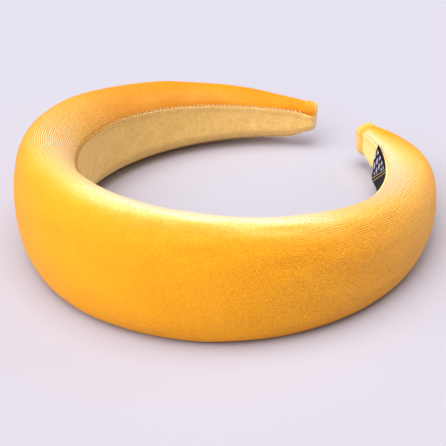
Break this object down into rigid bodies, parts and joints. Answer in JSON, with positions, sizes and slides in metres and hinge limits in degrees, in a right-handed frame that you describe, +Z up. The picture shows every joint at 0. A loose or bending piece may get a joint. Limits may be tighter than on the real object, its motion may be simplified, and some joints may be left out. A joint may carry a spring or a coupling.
{
  "type": "padded headband",
  "caption": "C-shaped padded velvet headband, thick and wide at the crown and narrowing to flat wrapped tips, with a cloth lining and a small woven label inside.",
  "frame": {"origin": "bottom centre of the bounding box: on the table, under the middle of the band as it lies on one rim", "axes": "+Z up; -Y from the middle to the crown, +Y to the open tips; +X to the arm with the label"},
  "size_m": [0.1684, 0.1676, 0.0502],
  "materials": {
    "velvet_cover": "short-pile stretch velvet with fine rows, golden yellow",
    "lining_cloth": "matte brushed cloth, pale tan yellow",
    "woven_label": null,
    "tip_cloth": "the cover's velvet, turned over the tip"
  },
  "bodies": {
    "root": {"padded_cover": "velvet_cover", "lining": "lining_cloth", "label": "woven_label", "left_tip_wrap": "tip_cloth", "right_tip_wrap": "tip_cloth"}
  },
  "joints": []
}
